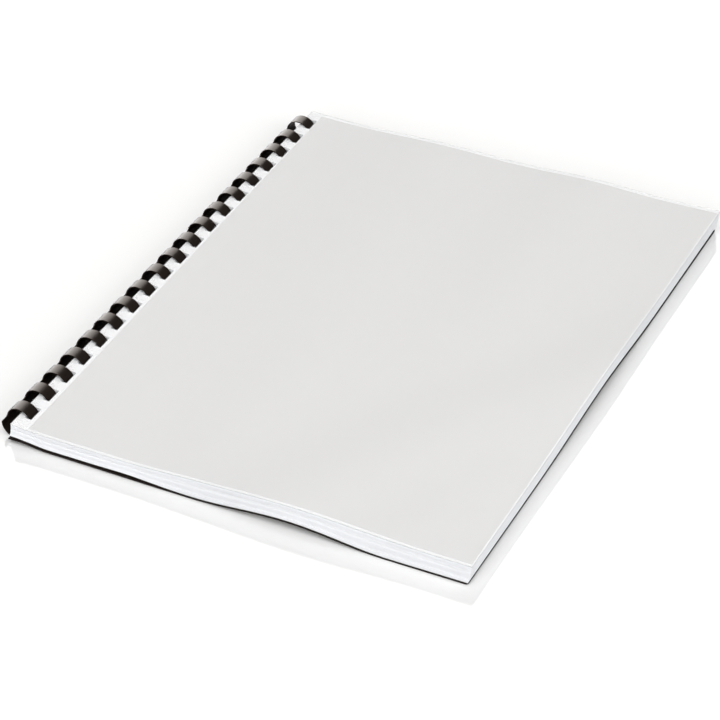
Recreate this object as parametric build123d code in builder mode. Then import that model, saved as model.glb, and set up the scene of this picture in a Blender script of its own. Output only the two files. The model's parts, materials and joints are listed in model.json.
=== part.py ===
"""A comb-bound report in millimetres, built sheet by sheet.

A one-piece plastic comb with nineteen rings holds a clear front cover, a title page, a block of plain
leaves and a black back cover. +X runs from the spine to the fore-edge, +Y along the spine and +Z up.
The origin is the middle of the footprint, on the surface that the report lies on.
"""

import os
from math import cos, pi, radians, sin

from build123d import *

# Letter sheets, punched along the long edge with one slot for each ring
sheet_width = 215.9
sheet_length = 279.4
ring_count = 19
ring_pitch = 14.2875
slot_width = 3.175
slot_length = 7.94
slot_margin = 2.9
leaf_count = 56
paper = 0.1
clear_film = 0.2
back_card = 0.5
back_corner = 3.0

# How the sheets lie on each other
leaf_step = 0.15
back_gap = 0.1
front_gap = 0.05

# The comb: a half-inch comb, whose wall is a strip along the spine with a finger at each ring
comb_radius = 6.35
comb_wall = 0.5
finger_width = 6.4
comb_near_end = -137.0
comb_far_end = 133.0
strip_top = 172.0
strip_bottom = 272.0
finger_root = strip_top + 6.0
tuck_start = -20.0
tuck_end = -88.0
finger_tip = -150.0
tail_radius = comb_radius - 1.25 * comb_wall - 0.2

# Every sheet rises to the ring near the spine, and is flat from there
spine_lift = 1.45
lift_start = 7.2
lift_end = 24.0
join = 60.0

# A low ridge runs across the near fore-edge corner, and dies away towards the top of the block
ridge_crest = 135.0
ridge_angle = 60.8
ridge_half = 37.0
ridge_height = 2.9
ridge_loss = 1.5
ridge_facets = 10

# Sheets hang on the rings with their middle ones furthest out
hang_base = 0.3
hang_bulge = 0.8
hang_lean = 0.07
hang_half = 4.5
back_shift = -0.8
ring_inset = 0.3

# Places that follow from these
stack_lean = hang_base + hang_bulge
spine_x = -(sheet_width + stack_lean + ring_inset - comb_radius) / 2
ring_x = spine_x + ring_inset
ring_z = comb_radius
ring_ys = [(ring_count - 1) / 2 * ring_pitch - n * ring_pitch for n in range(ring_count)]
tall = 4 * comb_radius
reach = 1.1 * sheet_length


def hang(level):
    """How far +X a sheet hangs from the nominal spine edge, for its height on the ring."""
    height = level + spine_lift - ring_z
    return hang_base + hang_bulge * (1 - (height / hang_half) ** 2) + hang_lean * height


def ridge_profile(level, rise):
    """Heights across the ridge, as points from the spine side to the fore-edge corner."""
    steps = [2 * n / ridge_facets - 1 for n in range(ridge_facets + 1)]
    crest = [(ridge_half * t, level + rise * cos(pi / 2 * t) ** 2) for t in steps]
    return [(-reach, level)] + crest + [(reach, level)]


def punched_sheet(level, thickness, rise, shift, corner=0.0):
    """One sheet: a ridged part beyond the join, a lifted part at the spine, and its slots."""
    left = spine_x + shift
    right = left + sheet_width
    join_x = spine_x + join
    across = Vector(sin(radians(ridge_angle)), -cos(radians(ridge_angle)), 0)
    along = Vector(cos(radians(ridge_angle)), sin(radians(ridge_angle)), 0)
    crest = Vector(spine_x + ridge_crest, -sheet_length / 2, 0)
    low = ridge_profile(level, rise)
    high = [(s, z + thickness) for s, z in reversed(low)]
    spine_low = [
        (left, level + spine_lift),
        (spine_x + lift_start, level + spine_lift),
        (spine_x + lift_end, level),
        (join_x, level),
    ]
    spine_high = [(x, z + thickness) for x, z in reversed(spine_low)]
    slot_x = left + slot_margin + slot_width / 2
    with BuildPart() as sheet:
        with BuildSketch(Plane(origin=crest, x_dir=across, z_dir=-along)):
            with BuildLine():
                Polyline(*low, *high, close=True)
            make_face()
        extrude(amount=reach, both=True)
        with BuildSketch(Plane.XY):
            with Locations(((join_x + right) / 2, 0)):
                Rectangle(right - join_x, sheet_length)
        extrude(amount=tall, mode=Mode.INTERSECT)
        with BuildSketch(Plane.XZ):
            with BuildLine():
                Polyline(*spine_low, *spine_high, close=True)
            make_face()
        extrude(amount=sheet_length / 2, both=True)
        with BuildSketch(Plane.XY):
            with Locations(*[(slot_x, y) for y in ring_ys]):
                Rectangle(slot_width, slot_length)
        extrude(amount=tall, mode=Mode.SUBTRACT)
        if corner:
            fillet(sheet.edges().filter_by(Axis.Z).sort_by(Axis.X)[-2:], corner)
    return sheet.part


def finger_side(offset):
    """One face of a finger: round the ring from its root, then tucked inside the strip."""
    ring, tail = comb_radius - comb_wall / 2 + offset, tail_radius + offset
    centre = (ring_x, ring_z)
    middle = radians((tuck_start + tuck_end) / 2)
    half_way = (ring + tail) / 2
    over = CenterArc(centre, ring, finger_root, tuck_start - finger_root)
    under = CenterArc(centre, tail, tuck_end, finger_tip - tuck_end)
    between = (ring_x + half_way * cos(middle), ring_z + half_way * sin(middle))
    Spline(over @ 1, between, under @ 0, tangents=(over % 1, under % 0))
    return over @ 0, under @ 1


os.makedirs("parts", exist_ok=True)

# The comb: a strip along the spine, with nineteen fingers that curl over and tuck back inside it
with BuildPart() as comb:
    with BuildSketch(Plane.XZ.offset(-comb_far_end)):
        with BuildLine():
            span = strip_bottom - strip_top
            outer = CenterArc((ring_x, ring_z), comb_radius, strip_top, span)
            inner = CenterArc((ring_x, ring_z), comb_radius - comb_wall, strip_top, span)
            Line(outer @ 0, inner @ 0)
            Line(outer @ 1, inner @ 1)
        make_face()
    extrude(amount=comb_far_end - comb_near_end)
    with BuildSketch(*[Plane.XZ.offset(-y - finger_width / 2) for y in ring_ys]):
        with BuildLine():
            outer_root, outer_tip = finger_side(comb_wall / 2)
            inner_root, inner_tip = finger_side(-comb_wall / 2)
            Line(outer_root, inner_root)
            Line(outer_tip, inner_tip)
        make_face()
    extrude(amount=finger_width)
comb.part.label = "comb"
export_step(comb.part, "parts/comb.step")

# The back cover: black card, with its two fore-edge corners rounded
back_cover = punched_sheet(0, back_card, ridge_height, back_shift, back_corner)
back_cover.label = "back_cover"
export_step(back_cover, "parts/back_cover.step")

# The leaves, from the back cover up
for n in range(leaf_count):
    level = back_card + back_gap + n * leaf_step
    rise = ridge_height - ridge_loss * (n + 1) / leaf_count
    leaf = punched_sheet(level, paper, rise, hang(level))
    leaf.label = f"leaf_{n + 1:02d}"
    export_step(leaf, f"parts/{leaf.label}.step")

# The title page, one more sheet of the same paper on top of the leaves
title_level = back_card + back_gap + leaf_count * leaf_step
title_rise = ridge_height - ridge_loss
title_page = punched_sheet(title_level, paper, title_rise, hang(title_level))
title_page.label = "title_page"
export_step(title_page, "parts/title_page.step")

# The front cover: clear film over the title page
front_level = title_level + paper + front_gap
front_cover = punched_sheet(front_level, clear_film, title_rise, hang(front_level))
front_cover.label = "front_cover"
export_step(front_cover, "parts/front_cover.step")
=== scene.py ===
import json
from math import cos, pi, radians, sin

import bpy
import numpy as np
from mathutils import Matrix, Vector


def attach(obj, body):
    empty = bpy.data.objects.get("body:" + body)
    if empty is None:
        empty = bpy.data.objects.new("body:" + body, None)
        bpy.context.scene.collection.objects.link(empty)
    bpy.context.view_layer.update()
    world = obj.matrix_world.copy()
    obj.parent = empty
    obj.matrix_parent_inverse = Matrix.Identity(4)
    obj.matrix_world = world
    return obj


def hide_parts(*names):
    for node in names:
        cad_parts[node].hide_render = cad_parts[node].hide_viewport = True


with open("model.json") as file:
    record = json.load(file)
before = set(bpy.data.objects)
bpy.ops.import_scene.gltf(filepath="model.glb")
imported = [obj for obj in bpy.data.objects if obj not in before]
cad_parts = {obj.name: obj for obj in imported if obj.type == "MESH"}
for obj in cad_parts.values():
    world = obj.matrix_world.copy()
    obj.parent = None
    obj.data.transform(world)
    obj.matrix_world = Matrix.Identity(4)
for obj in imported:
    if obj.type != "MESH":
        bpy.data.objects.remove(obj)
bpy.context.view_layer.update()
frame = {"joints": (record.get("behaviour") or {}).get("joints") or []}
mm = 0.001


# ---- The comb ----
# One strip of black PVC, cut into nineteen fingers and heat-set into a roll. The strip lies along the
# spine, and each finger curls over, passes down through every sheet and tucks back inside the strip.

ring_count = 19
ring_pitch = 14.2875
ring_axis = Vector(frame["joints"][0]["pos_m"]) / mm
comb_radius = 6.34
comb_wall = 0.5
strip_ends = (-136.0, 133.0)
strip_bottom, strip_top = 272, 172
tuck_start, tuck_end, finger_tip = -20, -88, -150
tail_inset = 0.575
finger_width = 6.4
root_flare = 0.7
flare_turn = 9
tip_turn = 34
tip_share = 0.45
ring_ys = [(n - (ring_count - 1) / 2) * ring_pitch for n in range(ring_count)]


def smooth_step(low, high, value):
    """0 below low and 1 above high, with an even bend between them."""
    share = np.clip((value - low) / (high - low), 0, 1)
    return share * share * (3 - 2 * share)


def plate(name, across, along, kept, place, marked=None, side_mark=0):
    """A closed thin plate over a grid, with a hole wherever kept(i, j) is false for a cell.

    place(face) gives the grid's points in millimetres, with face 0 below and 1 above. Cells that
    pass marked(i, j) take the second material on face 1, and the cut sides take material side_mark.
    """
    rows, columns = len(across), len(along)
    points = np.concatenate([place(0).reshape(-1, 3), place(1).reshape(-1, 3)])
    number = np.arange(2 * rows * columns).reshape(2, rows, columns)
    keep = np.array([[kept(i, j) for j in range(columns - 1)] for i in range(rows - 1)])
    faces, marks, sides = [], [], []
    for i, j in np.argwhere(keep):
        corners = [(i, j), (i + 1, j), (i + 1, j + 1), (i, j + 1)]
        faces.append([number[1][c] for c in corners])
        marks.append(int(marked is not None and marked(i, j)))
        faces.append([number[0][c] for c in reversed(corners)])
        marks.append(0)
        steps = [(i, j - 1), (i + 1, j), (i, j + 1), (i - 1, j)]
        for n, (a, b) in enumerate(steps):
            if 0 <= a < rows - 1 and 0 <= b < columns - 1 and keep[a, b]:
                continue
            start, end = corners[n], corners[(n + 1) % 4]
            sides.append([number[0][start], number[0][end], number[1][end], number[1][start]])
    used = np.unique(np.array(faces + sides))
    renumber = np.zeros(len(points), int)
    renumber[used] = np.arange(len(used))
    mesh = bpy.data.meshes.new(name)
    mesh.from_pydata((points[used] * mm).tolist(), [], renumber[np.array(faces + sides)].tolist())
    mesh.polygons.foreach_set("use_smooth", [True] * len(faces) + [False] * len(sides))
    mesh.polygons.foreach_set("material_index", marks + [side_mark] * len(sides))
    mesh.update()
    mesh.set_sharp_from_angle(angle=radians(40))
    piece = bpy.data.objects.new(name, mesh)
    bpy.context.scene.collection.objects.link(piece)
    return piece


def new_material(name):
    """A new material, its node tree and its Principled shader, for a section to wire up."""
    material = bpy.data.materials.new(name)
    material.use_nodes = True
    tree = material.node_tree
    return material, tree, tree.nodes["Principled BSDF"]


def relief_group():
    """Fine relief, uneven gloss and a slight mottle, for plastic, card and paper, as a node group."""
    group = bpy.data.node_groups.new("surface_relief", "ShaderNodeTree")
    for label, kind in (("Scale", "NodeSocketFloat"), ("Relief", "NodeSocketFloat"),
                        ("Gloss Low", "NodeSocketFloat"), ("Gloss High", "NodeSocketFloat")):
        group.interface.new_socket(label, in_out="INPUT", socket_type=kind)
    group.interface.new_socket("Normal", in_out="OUTPUT", socket_type="NodeSocketVector")
    group.interface.new_socket("Roughness", in_out="OUTPUT", socket_type="NodeSocketFloat")
    group.interface.new_socket("Mottle", in_out="OUTPUT", socket_type="NodeSocketFloat")
    nodes, links = group.nodes, group.links
    given, out = nodes.new("NodeGroupInput"), nodes.new("NodeGroupOutput")
    place = nodes.new("ShaderNodeTexCoord")
    fine, broad = nodes.new("ShaderNodeTexNoise"), nodes.new("ShaderNodeTexNoise")
    fine.inputs["Detail"].default_value = 4
    broad.inputs["Scale"].default_value = 60
    bump, gloss = nodes.new("ShaderNodeBump"), nodes.new("ShaderNodeMapRange")
    bump.inputs["Distance"].default_value = 0.0001
    links.new(place.outputs["Object"], fine.inputs["Vector"])
    links.new(place.outputs["Object"], broad.inputs["Vector"])
    links.new(given.outputs["Scale"], fine.inputs["Scale"])
    links.new(fine.outputs["Fac"], bump.inputs["Height"])
    links.new(given.outputs["Relief"], bump.inputs["Strength"])
    links.new(broad.outputs["Fac"], gloss.inputs["Value"])
    links.new(given.outputs["Gloss Low"], gloss.inputs["To Min"])
    links.new(given.outputs["Gloss High"], gloss.inputs["To Max"])
    links.new(bump.outputs["Normal"], out.inputs["Normal"])
    links.new(gloss.outputs["Result"], out.inputs["Roughness"])
    links.new(broad.outputs["Fac"], out.inputs["Mottle"])
    return group


surface_relief = relief_group()


def add_relief(tree, shader, scale, relief, gloss_low, gloss_high):
    """Places the relief group in a material, and wires its normal and roughness."""
    node = tree.nodes.new("ShaderNodeGroup")
    node.node_tree = surface_relief
    for label, value in (("Scale", scale), ("Relief", relief),
                         ("Gloss Low", gloss_low), ("Gloss High", gloss_high)):
        node.inputs[label].default_value = value
    tree.links.new(node.outputs["Normal"], shader.inputs["Normal"])
    tree.links.new(node.outputs["Roughness"], shader.inputs["Roughness"])
    return node


def add_tone(tree, shader, factor, dark, light):
    """Varies a material's base colour between two tones."""
    tones = tree.nodes.new("ShaderNodeMix")
    tones.data_type = "RGBA"
    tones.inputs["A"].default_value = (*dark, 1)
    tones.inputs["B"].default_value = (*light, 1)
    tree.links.new(factor, tones.inputs["Factor"])
    tree.links.new(tones.outputs["Result"], shader.inputs["Base Color"])


def comb_mid_radius(turn):
    """The middle of the wall: round the ring, then in to the tucked tail."""
    ring = comb_radius - comb_wall / 2
    return ring - tail_inset * smooth_step(-tuck_start, -tuck_end, -turn)


strip_turns = np.linspace(strip_bottom, strip_top, 11)
over_turns = np.linspace(strip_top, tuck_start, 33)[1:]
flare_turns = np.array([strip_top - flare_turn * t for t in (0.2, 0.45, 0.75)])
tuck_turns = np.linspace(tuck_start, tuck_end, 10)[1:]
tail_turns = tuck_end + (finger_tip - tuck_end) * np.sin(np.linspace(0, pi / 2, 12))[1:]
comb_turns = np.concatenate([strip_turns, over_turns, flare_turns, tuck_turns, tail_turns])
comb_turns = np.sort(np.unique(comb_turns))[::-1]
half_finger = finger_width / 2
finger_ys = [y + half_finger * t for y in ring_ys for t in (-1, -0.5, 0, 0.5, 1)]
comb_ys = np.array(sorted({*strip_ends, *finger_ys}))
nearest_ring = np.array([min(ring_ys, key=lambda r: abs(r - y)) for y in comb_ys])
off_ring = comb_ys - nearest_ring
on_finger = np.abs(off_ring) <= half_finger + 0.01


def comb_kept(i, j):
    """The strip's cells, and beyond it only the fingers'."""
    in_strip = comb_turns[i + 1] >= strip_top - 0.01
    return in_strip or bool(on_finger[j] and on_finger[j + 1] and nearest_ring[j] == nearest_ring[j + 1])


def comb_points(face):
    """The wall's inner or outer face. A finger flares into the strip, and narrows to a round tip."""
    turns, ys = np.meshgrid(comb_turns, comb_ys, indexing="ij")
    radius = comb_mid_radius(turns) + (face - 0.5) * comb_wall
    flare = np.clip((turns - strip_top + flare_turn) / flare_turn, 0, 1) ** 2
    to_tip = np.clip((finger_tip + tip_turn - turns) / tip_turn, 0, 1)
    width = np.where(turns > strip_top + 0.01, 1, 1 + root_flare / half_finger * flare)
    width = width * (1 - (1 - tip_share) * (1 - np.sqrt(1 - to_tip**2 * 0.98)))
    y = np.where(on_finger, nearest_ring + off_ring * width, ys)
    x = ring_axis.x + radius * np.cos(np.radians(turns))
    z = ring_axis.z + radius * np.sin(np.radians(turns))
    return np.stack([x, y, z], axis=-1)


comb_black, tree, shader = new_material("comb_black_pvc")
relief = add_relief(tree, shader, 900, 0.12, 0.24, 0.34)
add_tone(tree, shader, relief.outputs["Mottle"], (0.0068, 0.0042, 0.0032), (0.0105, 0.0068, 0.0053))
shader.inputs["Specular Tint"].default_value = (0.82, 0.7, 0.62, 1)

comb = plate("comb_rolled", comb_turns, comb_ys, comb_kept, comb_points)
comb.data.materials.append(comb_black)
softened = comb.modifiers.new("worn_edges", "BEVEL")
softened.width = 0.14 * mm
softened.segments = 2
softened.limit_method = "ANGLE"
softened.angle_limit = radians(50)
softened.harden_normals = True
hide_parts("comb")
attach(comb, "comb")


# ---- The back cover ----
# Black cover card with a fine leather grain, with its two fore-edge corners rounded. It lies under
# the leaves on the same rings, and a low ridge runs across its near fore-edge corner.

sheet_width = 215.9
sheet_length = 279.4
slot_margin = 2.9
slot_width = 3.175
slot_length = 7.94
card_thickness = 0.5
card_corner = 1.4
card_shift = -0.8
ring_inset = 0.3
ridge_span = 143
ridge_dies = 1.3
spine_x = ring_axis.x - ring_inset


def from_near(y):
    """0 at the near edge and 1 at the far edge."""
    return (y + sheet_length / 2) / sheet_length


def ridge(x, y, crest, drift, height, loss, half, narrowing):
    """A ridge that starts at the near edge and drifts towards the fore-edge as it goes away.

    crest is its middle at the near edge. drift, loss and narrowing are what ridge_span adds or takes.
    """
    along = from_near(y) * sheet_length / ridge_span
    width = half - narrowing * along
    beside = np.clip((x - crest - drift * along) / width, -1, 1)
    return (height - loss * np.clip(along, 0, ridge_dies)) * np.cos(pi / 2 * beside) ** 2


def low_surface(x, y):
    """The underside of the back cover. x is from the spine edge, and z from the table."""
    near = (1 - from_near(y)) ** 1.5
    by_spine = 0.35 * (1 - smooth_step(30, 75, x)) * smooth_step(0, 25, x)
    slack = near * (0.3 * (1 - smooth_step(150, 185, x)) + by_spine)
    corner = 0.35 * smooth_step(170, 216, x) * (1 - smooth_step(-139.7, -75, y))
    lift = 1.5 * (1 - smooth_step(3.6, 20, x))
    rise = ridge(x, y, crest=133, drift=82, height=3.05, loss=0.85, half=45, narrowing=8)
    return slack + corner + lift + rise


def sheet(name, shift, half_length, y_shift, height, thickness, corner=0.0, panel=None, skew=0.0,
          rim=0, width=sheet_width):
    """One punched sheet, thickness above its lower face height(x, y).

    shift is how far it hangs from the spine edge at its near and far ends, and y_shift how far it
    lies along the spine. panel is the printed area's four sides, and skew leans the first of them.
    rim is the material of the cut sides.
    """
    bend = [0, 0.35 * corner, 0.7 * corner, corner] if corner else [0]
    x_sides = list(panel[:2]) if panel else []
    y_sides = list(panel[2:]) if panel else []
    spine_part = [0, 1.45, slot_margin, slot_margin + slot_width / 2, slot_margin + slot_width]
    flat_part = [9.5, 11.3, 13.2, 15.5, 17.7, 20, 23, 27] + list(np.linspace(31, width - 6, 30))
    if not panel:
        flat_part.append(7.7)
    xs = np.unique(np.round(spine_part + flat_part + x_sides + [width - b for b in bend], 4))
    slots = [(y - slot_length / 2, y + slot_length / 2) for y in ring_ys]
    ends = [half_length - b for b in bend]
    local_slots = [(a - y_shift, b - y_shift) for a, b in slots]
    y_list = [y for s in local_slots for y in s] + ends + [-e for e in ends] + y_sides
    ys = np.unique(np.round(y_list, 4))

    def kept(i, j):
        """All but the slots."""
        x, y = (xs[i] + xs[i + 1]) / 2, (ys[j] + ys[j + 1]) / 2
        in_slot = slot_margin < x < slot_margin + slot_width
        return not (in_slot and any(a < y < b for a, b in local_slots))

    def points(face):
        """The lower or upper face, in place."""
        x, y = np.meshgrid(xs, ys, indexing="ij")
        if panel:
            x = np.where(np.isclose(x, panel[0]), x - skew * y, x)
        if corner:
            a, b = x - (width - corner), np.abs(y) - (half_length - corner)
            rounding = (a > 0) & (b > 0)
            scale = np.where(rounding, np.maximum(a, b) / np.maximum(np.hypot(a, b), 1e-9), 1)
            x = np.where(rounding, width - corner + a * scale, x)
            y = np.where(rounding, np.sign(y) * (half_length - corner + b * scale), y)
        x = x + shift[0] + (shift[1] - shift[0]) * from_near(y)
        y = y + y_shift
        return np.stack([x + spine_x, y, height(x, y) + face * thickness], axis=-1)

    def printed(i, j):
        """True for the cells inside the printed panel."""
        return panel[0] - 0.01 <= xs[i] and xs[i + 1] <= panel[1] + 0.01 and (
            panel[2] - 0.01 <= ys[j] and ys[j + 1] <= panel[3] + 0.01)

    return plate(name, xs, ys, kept, points, printed if panel else None, rim)


card_black, tree, shader = new_material("card_black_grained")
relief = add_relief(tree, shader, 1500, 0.5, 0.5, 0.62)
add_tone(tree, shader, relief.outputs["Mottle"], (0.009, 0.0055, 0.0045), (0.014, 0.009, 0.0075))
shader.inputs["Specular IOR Level"].default_value = 0.15
back_cover = sheet("back_cover_card", (card_shift, card_shift), sheet_length / 2, 0, low_surface,
                   card_thickness, card_corner)
back_cover.data.materials.append(card_black)
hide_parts("back_cover")
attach(back_cover, "back_cover")


# ---- The leaves ----
# Fifty-six leaves of plain white copier paper, guillotined and then punched a dozen or so at a time.
# They lie loose on the rings, so their edges don't quite line up, and the top lift stands off.

leaf_count = 56
paper = 0.1
lift_leaves = 14
bundle_top = 42
cut_length = sheet_length - 0.6
cut_width = sheet_width - 0.7
draw = np.random.default_rng(7)
height_play, across_play, along_play = 0.06, 0.15, 0.2
slot_play, top_lean, most_out = 0.1, 0.35, 1.1
slot_middle = 4.5


def high_surface(x, y):
    """The upper face of the title page, over the whole block."""
    far = smooth_step(0, 1, from_near(y))
    near_base = 9.15 + 1.3 * smooth_step(58, 92, x) - 0.25 * smooth_step(170, 205, x)
    wave = 0.35 * np.cos(2 * pi * (x - 75) / 77) + 0.55 * np.exp(-(((x - 152) / 22) ** 2))
    far_base = 10.85 + wave - 0.65 * (1 - smooth_step(15, 60, x))
    spine = (1.25 - 0.95 * far) * np.exp(-np.maximum(x, 0) / 7)
    rise = ridge(x, y, crest=136, drift=82, height=1.9, loss=0.35, half=58, narrowing=12)
    return near_base * (1 - far) + far_base * far + spine + rise


def card_gap(x, y):
    """The open gap over the back cover, wider at the near edge by the spine."""
    near = np.exp(-(y + sheet_length / 2) / 12)
    by_spine = 0.65 * (1 - smooth_step(58, 88, x)) + 0.5 * np.exp(-(((x - 57) / 12) ** 2))
    by_ridge = 0.12 * (1 - smooth_step(150, 180, x))
    return 0.1 + 0.35 * (1 - smooth_step(0, 7, x)) + near * (by_spine + by_ridge)


def bundle_gap(x, y):
    """The gap under the top lift of leaves."""
    near = (1 - from_near(y)) ** 2
    closed = np.exp(-(((x - 84) / 12) ** 2))
    return 0.04 + near * 0.26 * (1 - closed) * (1 - smooth_step(150, 180, x))


def leaf_height(place):
    """The lower face of the leaf at this place in the block, from 0 to the number of leaves."""
    def height(x, y):
        floor = low_surface(x, y) + card_thickness + card_gap(x, y)
        room = high_surface(x, y) - paper - floor - bundle_gap(x, y)
        return floor + place / leaf_count * room + (place >= bundle_top - 0.5) * bundle_gap(x, y)
    return height


def hang(height, thickness, across=0.0):
    """How far a sheet hangs from the spine edge, at its near and far ends.

    Low sheets rest against the outside of the fingers, and high ones stop at their inside.
    """
    shifts = []
    for y in (ring_ys[0], ring_ys[-1]):
        level = float(height(np.array(slot_middle), np.array(y))) - ring_axis.z
        outside = ring_inset + float(np.sqrt(comb_radius**2 - min(level, 0) ** 2))
        inside = ring_inset + float(np.sqrt((comb_radius - comb_wall) ** 2 - (level + thickness) ** 2))
        lean = top_lean * float(smooth_step(-1, 3, level)) + across
        resting = outside - slot_margin - slot_width + slot_play + lean
        shifts.append(min(resting, inside - slot_margin - slot_play))
    return min(shifts[0], most_out), min(shifts[1], most_out)


paper_white, tree, shader = new_material("leaf_white_paper")
relief = add_relief(tree, shader, 2600, 0.12, 0.82, 0.92)
coordinates, stretch = tree.nodes.new("ShaderNodeTexCoord"), tree.nodes.new("ShaderNodeMapping")
stretch.inputs["Scale"].default_value = (9, 9, 2600)
streaks = tree.nodes.new("ShaderNodeTexNoise")
streaks.inputs["Scale"].default_value = 1
streaks.inputs["Detail"].default_value = 3
tree.links.new(coordinates.outputs["Object"], stretch.inputs["Vector"])
tree.links.new(stretch.outputs["Vector"], streaks.inputs["Vector"])
add_tone(tree, shader, streaks.outputs["Fac"], (0.79, 0.8, 0.82), (0.87, 0.876, 0.89))
shader.inputs["Specular IOR Level"].default_value = 0.25

for n in range(leaf_count):
    place = n + draw.uniform(-height_play, height_play)
    across, along = draw.uniform(0, across_play), draw.uniform(-along_play, along_play)
    height = leaf_height(place)
    shift = hang(height, paper, across)
    leaf = sheet(f"leaf_{n + 1:02d}_paper", shift, cut_length / 2, along, height, paper, width=cut_width)
    leaf.data.materials.append(paper_white)
    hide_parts(f"leaf_{n + 1:02d}")
    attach(leaf, f"leaves_{n // lift_leaves + 1}")


# ---- The title page ----
# One more leaf of the same paper, with a plain pale grey panel printed over all but its edges. It is
# punched with the leaves, and lies under the clear cover.

panel_left = 7.2
panel_right = sheet_width - 0.9
panel_near = -cut_length / 2 + 1.4
panel_far = cut_length / 2 - 1.6
panel_skew = 0.006
title_gap = 0.03

title_white, tree, shader = new_material("title_white_paper")
relief = add_relief(tree, shader, 2600, 0.12, 0.8, 0.9)
add_tone(tree, shader, relief.outputs["Mottle"], (0.77, 0.773, 0.78), (0.795, 0.797, 0.802))
shader.inputs["Specular IOR Level"].default_value = 0.25

panel_grey, tree, shader = new_material("title_printed_grey")
relief = add_relief(tree, shader, 2600, 0.12, 0.7, 0.8)
add_tone(tree, shader, relief.outputs["Mottle"], (0.605, 0.602, 0.597), (0.63, 0.627, 0.623))
shader.inputs["Specular IOR Level"].default_value = 0.3


def title_height(x, y):
    """The lower face of the title page."""
    return high_surface(x, y) - paper + title_gap


title_page = sheet("title_page_paper", hang(title_height, paper), cut_length / 2, 0, title_height, paper,
                   panel=(panel_left, panel_right, panel_near, panel_far), skew=panel_skew)
title_page.data.materials.append(title_white)
title_page.data.materials.append(panel_grey)
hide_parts("title_page")
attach(title_page, "title_page")


# ---- The front cover ----
# Clear PVC film, cut and punched like the leaves. It is stiff, so it lies as one smooth sheet over
# the title page. It shows mostly in what it mirrors and at its cut edges, whose grey is painted shade.

film_thickness = 0.2
film_gap = 0.08

clear_film, tree, shader = new_material("cover_clear_film")
relief = add_relief(tree, shader, 300, 0.02, 0.14, 0.2)
add_tone(tree, shader, relief.outputs["Mottle"], (0.9, 0.9, 0.9), (0.96, 0.96, 0.96))
shader.inputs["Metallic"].default_value = 1.0
shader.inputs["Alpha"].default_value = 0.02

# The film's cut sides, slot walls included, are painted grey and part opaque: painted shade for the
# darkening and refraction that clear film shows edge-on, and in its slot holes.
film_edge_painted_shade, tree, shader = new_material("cover_cut_edge_painted_shade")
relief = add_relief(tree, shader, 1200, 0.3, 0.3, 0.5)
add_tone(tree, shader, relief.outputs["Mottle"], (0.28, 0.29, 0.29), (0.36, 0.37, 0.37))
shader.inputs["Alpha"].default_value = 0.6


def film_height(x, y):
    """The film's lower face."""
    return high_surface(x, y) + film_gap


front_cover = sheet("front_cover_film", hang(film_height, film_thickness), sheet_length / 2, 0, film_height,
                    film_thickness, rim=1)
front_cover.data.materials.append(clear_film)
front_cover.data.materials.append(film_edge_painted_shade)
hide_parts("front_cover")
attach(front_cover, "front_cover")


# ---- The table, the lamps and the camera ----
# A plain pale gloss table under three broad soft lamps, and a tall bright screen at the back left that
# only shows where something mirrors it.

floor_half = 6.0
floor_drop = 0.02 * mm
floor_mesh = bpy.data.meshes.new("table_top")
floor_mesh.from_pydata([(-floor_half, -floor_half, 0), (floor_half, -floor_half, 0),
                        (floor_half, floor_half, 0), (-floor_half, floor_half, 0)], [], [(0, 1, 2, 3)])
floor = bpy.data.objects.new("table_top", floor_mesh)
floor.location.z = -floor_drop
bpy.context.scene.collection.objects.link(floor)
table_white, tree, shader = new_material("table_pale_gloss")
relief = add_relief(tree, shader, 40, 0.0, 0.03, 0.05)
add_tone(tree, shader, relief.outputs["Mottle"], (0.785, 0.785, 0.78), (0.795, 0.795, 0.79))
shader.inputs["IOR"].default_value = 1.5
floor.data.materials.append(table_white)


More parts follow.
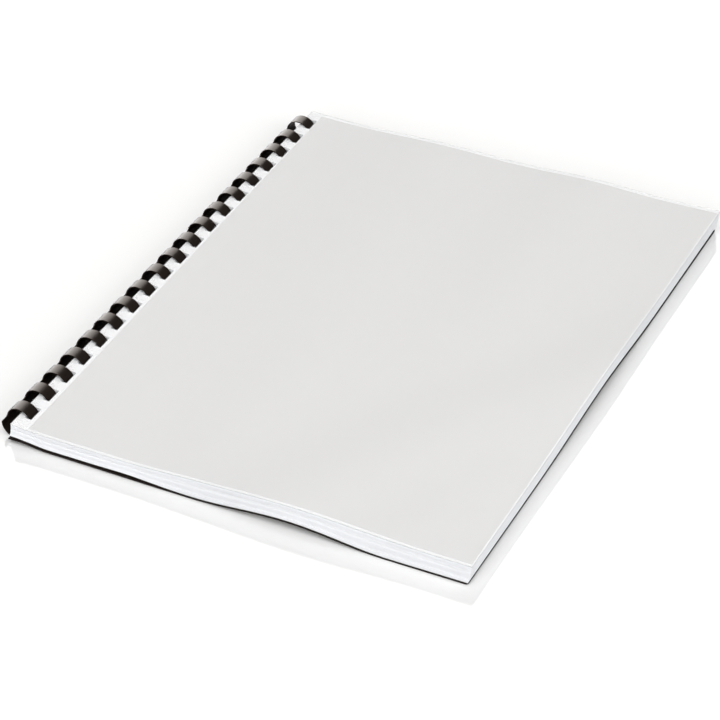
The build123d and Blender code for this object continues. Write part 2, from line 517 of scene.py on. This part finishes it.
def lamp(name, place, aim, width, depth, power, colour=(1, 1, 1)):
    """A rectangular soft lamp that faces the point aim."""
    light = bpy.data.lights.new(name, "AREA")
    light.shape, light.size, light.size_y = "RECTANGLE", width, depth
    light.energy, light.color = power, colour
    lamp_object = bpy.data.objects.new(name, light)
    lamp_object.location = place
    facing = Vector(aim) - Vector(place)
    lamp_object.rotation_euler = facing.to_track_quat("-Z", "Y").to_euler()
    lamp_object.visible_camera = False
    bpy.context.scene.collection.objects.link(lamp_object)
    return lamp_object


lamp("overhead_lamp", (0.5, -1.3, 3.0), (0, 0, 0), 3.4, 3.0, 82)
lamp("front_lamp", (0.2, -3.2, 1.3), (0, 0, 0.2), 3.5, 2.0, 72)
lamp("right_lamp", (3.2, -0.6, 1.4), (0, 0, 0.1), 2.4, 2.0, 66)
screen = lamp("back_left_screen", (-1.94, 2.62, 1.5), (0, 0, 0), 3.45, 3.3, 146, (1.0, 0.99, 0.98))
screen.visible_diffuse = False

world = bpy.data.worlds.new("studio")
world.use_nodes = True
backdrop = world.node_tree.nodes["Background"]
backdrop.inputs["Color"].default_value = (1, 1, 1, 1)
rays = world.node_tree.nodes.new("ShaderNodeLightPath")
dimmed = world.node_tree.nodes.new("ShaderNodeMapRange")
dimmed.inputs["To Min"].default_value = 0.12
dimmed.inputs["To Max"].default_value = 0.9
world.node_tree.links.new(rays.outputs["Is Camera Ray"], dimmed.inputs["Value"])
world.node_tree.links.new(dimmed.outputs["Result"], backdrop.inputs["Strength"])
bpy.context.scene.world = world
bpy.context.scene.view_settings.view_transform = "Standard"

camera_place = Vector((0.44007, -0.86510, 0.70462))
camera_turn, camera_drop, camera_roll = radians(-27.4154), radians(36.6123), radians(-1.3939)
camera_lens = 133.2
ahead = Vector((cos(camera_drop) * sin(camera_turn), cos(camera_drop) * cos(camera_turn), -sin(camera_drop)))
level_right = ahead.cross(Vector((0, 0, 1))).normalized()
level_up = level_right.cross(ahead)
right = level_right * cos(camera_roll) + level_up * sin(camera_roll)
up = level_up * cos(camera_roll) - level_right * sin(camera_roll)
camera_data = bpy.data.cameras.new("camera")
camera_data.lens, camera_data.sensor_width = camera_lens, 36
camera = bpy.data.objects.new("camera", camera_data)
turned = Matrix((right, up, -ahead)).transposed().to_4x4()
camera.matrix_world = Matrix.Translation(camera_place) @ turned
bpy.context.scene.collection.objects.link(camera)
bpy.context.scene.camera = camera
